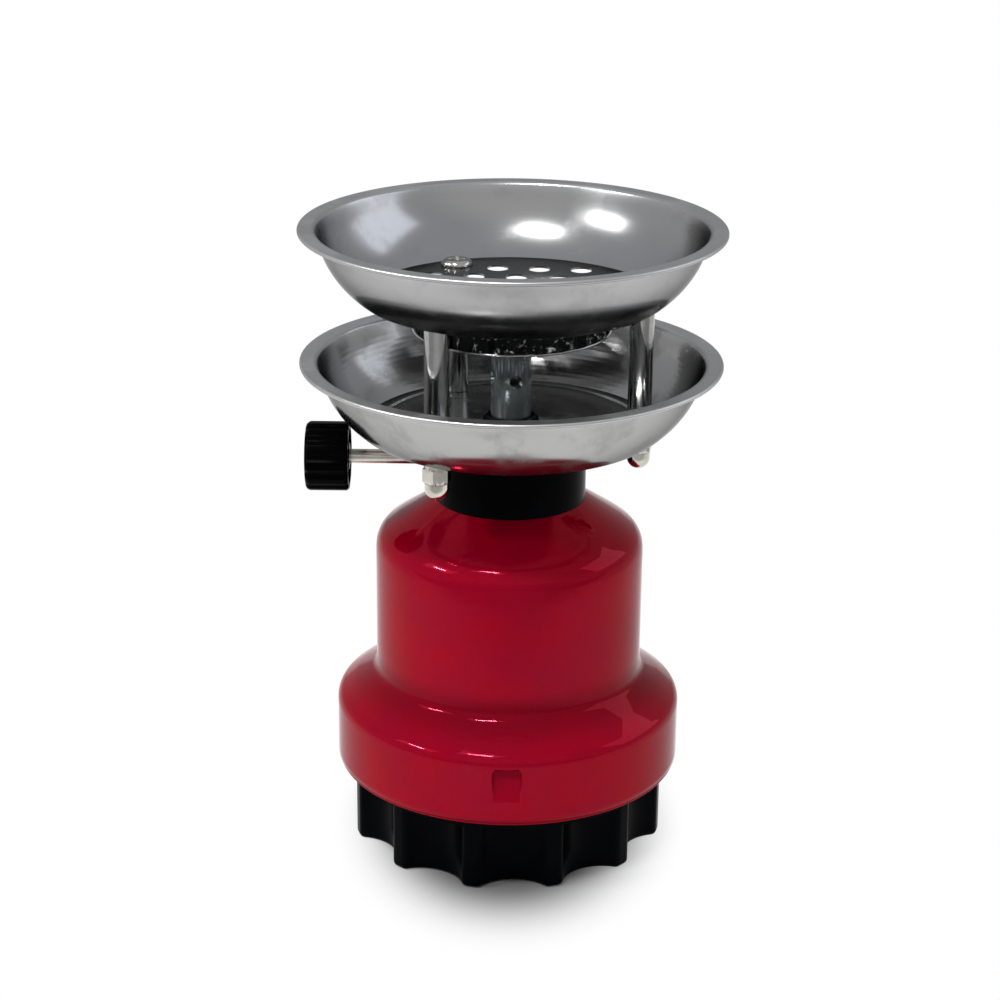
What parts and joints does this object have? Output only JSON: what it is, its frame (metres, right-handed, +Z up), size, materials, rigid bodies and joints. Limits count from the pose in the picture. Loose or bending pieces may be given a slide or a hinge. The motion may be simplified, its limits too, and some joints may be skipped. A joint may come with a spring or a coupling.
{
  "type": "butane cartridge stove",
  "caption": "Free-standing gas stove: stepped housing over a pierceable cartridge on a lobed foot, side valve knob, round burner and stacked steel bowls on posts.",
  "frame": {"origin": "on the stove's vertical axis, at the surface it stands on", "axes": "+Z up along the stove's axis; the valve spindle and its knob point along -X; the first bayonet lug faces -Y"},
  "size_m": [0.1474, 0.1474, 0.2252],
  "materials": {
    "red_enamel": "glossy crimson enamel over pressed steel",
    "foot_plastic": "semi-gloss black moulding",
    "collar_plastic": "gloss black moulding",
    "knob_plastic": "gloss black moulding, fluted",
    "lower_bowl_steel": "polished pressed stainless steel, faint smudges",
    "upper_bowl_steel": "polished pressed stainless steel, satin lip",
    "post_chrome": "bright chrome plate",
    "screw_steel": "bright plated steel",
    "nut_nickel": "bright nickel plate",
    "spindle_nickel": "nickel plate, drawn rod",
    "gland_nickel": "nickel plate",
    "valve_brass": "turned brass",
    "jet_brass": "turned brass",
    "neck_brass": "turned brass",
    "needle_steel": "ground stainless steel",
    "tube_zinc": "blue-passivated zinc plate",
    "nut_zinc": "blue-passivated zinc plate",
    "burner_steel": "pressed stainless steel",
    "port_steel": "corrugated stainless strip",
    "seal_rubber": "black nitrile rubber",
    "cartridge_paint": "plain pale lacquer on tinplate"
  },
  "bodies": {
    "housing": {"body_shell": "red_enamel", "neck_bush": "neck_brass"},
    "cartridge": {"gas_cartridge": "cartridge_paint"},
    "base": {"base_cup": "foot_plastic"},
    "seal": {"cartridge_seal": "seal_rubber"},
    "burner": {"valve_body": "valve_brass", "collar": "collar_plastic", "piercing_needle": "needle_steel", "gas_jet": "jet_brass", "lower_bowl": "lower_bowl_steel", "upper_bowl": "upper_bowl_steel", "bowl_nut": "nut_zinc", "burner_tube": "tube_zinc", "burner_base": "burner_steel", "port_ring": "port_steel", "burner_cap": "burner_steel", "post_1": "post_chrome", "post_2": "post_chrome", "post_3": "post_chrome", "post_screws": "screw_steel", "cap_nuts": "nut_nickel", "gland_nut": "gland_nickel"},
    "spindle_seal": {"spindle_o_ring": "seal_rubber"},
    "spindle": {"valve_spindle": "spindle_nickel", "knob": "knob_plastic"}
  },
  "joints": [
    {"name": "base_drop", "type": "slide", "parent": "housing", "child": "cartridge", "axis": [0, 0, -1], "range_m": [0, 0.0016]},
    {"name": "base_turn", "type": "hinge", "parent": "cartridge", "child": "base", "pos_m": [0, 0, 0.04], "axis": [0, 0, -1], "range_deg": [0, 45]},
    {"name": "burner_lift", "type": "slide", "parent": "housing", "child": "seal", "axis": [0, 0, 1], "range_m": [0, 0.01]},
    {"name": "burner_turn", "type": "hinge", "parent": "seal", "child": "burner", "pos_m": [0, 0, 0.1255], "axis": [0, 0, 1], "range_deg": [0, 1800]},
    {"name": "spindle_travel", "type": "slide", "parent": "burner", "child": "spindle_seal", "axis": [-1, 0, 0], "range_m": [0, 0.0015]},
    {"name": "knob_turn", "type": "hinge", "parent": "spindle_seal", "child": "spindle", "pos_m": [-0.01, 0, 0.1414], "axis": [-1, 0, 0], "range_deg": [0, 540]}
  ],
  "couplings": [
    {"joint": "base_turn", "follows": "base_drop", "rad_per_m": 490.87},
    {"joint": "burner_turn", "follows": "burner_lift", "rad_per_m": 3141.6},
    {"joint": "knob_turn", "follows": "spindle_travel", "rad_per_m": 6283.2}
  ]
}
